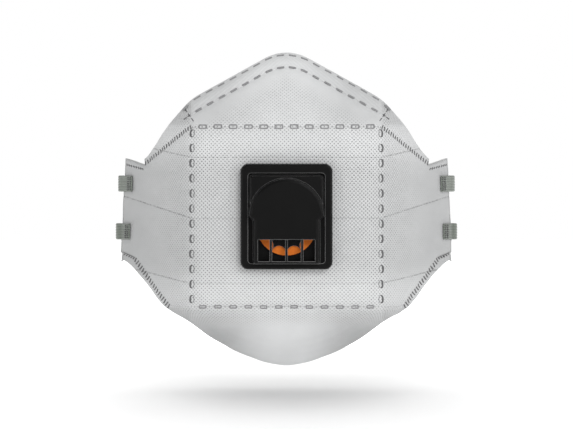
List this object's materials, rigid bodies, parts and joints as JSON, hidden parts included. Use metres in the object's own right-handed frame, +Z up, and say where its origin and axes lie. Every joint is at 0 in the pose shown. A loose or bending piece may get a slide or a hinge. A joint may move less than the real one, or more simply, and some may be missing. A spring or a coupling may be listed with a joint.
{
  "type": "disposable dust mask",
  "caption": "Fold-flat three-panel dust mask with a welded centre panel, cheek tabs, nose clip, elastic head straps and a front exhalation valve.",
  "frame": {"origin": "centre of the face opening at the back of the cheek tabs, level with the middle of the valve", "axes": "+Z up towards the nose, +X to the right seen from the front, -Y forwards out of the valve"},
  "size_m": [0.1502, 0.0699, 0.1389],
  "materials": {
    "outer_fabric": "embossed spunbond nonwoven, matte light grey",
    "filter_fabric": "meltblown nonwoven, matte white",
    "liner_fabric": "smooth spunbond nonwoven, matte white",
    "clip_metal": "bare soft strip",
    "foam": "open-cell soft foam, dark grey",
    "elastic": "ribbed knitted elastic, grey-green",
    "valve_plastic": "fine-textured moulded black",
    "flap_silicone": "smooth satin orange silicone"
  },
  "bodies": {
    "root": {"centre_band_cover": "outer_fabric", "centre_band_filter": "filter_fabric", "centre_band_liner": "liner_fabric", "upper_strap_end_left": "elastic", "upper_strap_end_right": "elastic", "lower_strap_end_left": "elastic", "lower_strap_end_right": "elastic", "valve_seat": "valve_plastic", "valve_cover": "valve_plastic", "valve_flap_clip": "valve_plastic", "valve_backing_ring": "valve_plastic"},
    "nose_panel": {"nose_panel_cover": "outer_fabric", "nose_panel_filter": "filter_fabric", "nose_panel_liner": "liner_fabric", "nose_clip": "clip_metal", "nose_clip_pocket": "outer_fabric", "nose_foam": "foam"},
    "chin_panel": {"chin_panel_cover": "outer_fabric", "chin_panel_filter": "filter_fabric", "chin_panel_liner": "liner_fabric"},
    "upper_strap": {"upper_strap": "elastic"},
    "lower_strap": {"lower_strap": "elastic"},
    "valve_flap": {"valve_flap": "flap_silicone", "valve_flap_plate": "valve_plastic"}
  },
  "joints": [
    {"name": "nose_panel_flex", "type": "hinge", "parent": "root", "child": "nose_panel", "pos_m": [0, -0.0505, 0.0395], "axis": [1, 0, 0], "range_deg": [0, 12], "stiffness_Nm_per_rad": 0.05},
    {"name": "chin_panel_flex", "type": "hinge", "parent": "root", "child": "chin_panel", "pos_m": [0, -0.049, -0.0395], "axis": [-1, 0, 0], "range_deg": [0, 15], "stiffness_Nm_per_rad": 0.05},
    {"name": "upper_strap_swing", "type": "hinge", "parent": "root", "child": "upper_strap", "pos_m": [0, 0.005, 0.014], "axis": [1, 0, 0], "range_deg": [0, 125]},
    {"name": "lower_strap_swing", "type": "hinge", "parent": "root", "child": "lower_strap", "pos_m": [0, 0.005, -0.007], "axis": [1, 0, 0], "range_deg": [0, 85]},
    {"name": "valve_flap_lift", "type": "hinge", "parent": "root", "child": "valve_flap", "pos_m": [0, -0.0547, 0.0097], "axis": [-1, 0, 0], "range_deg": [0, 9], "stiffness_Nm_per_rad": 0.002}
  ]
}
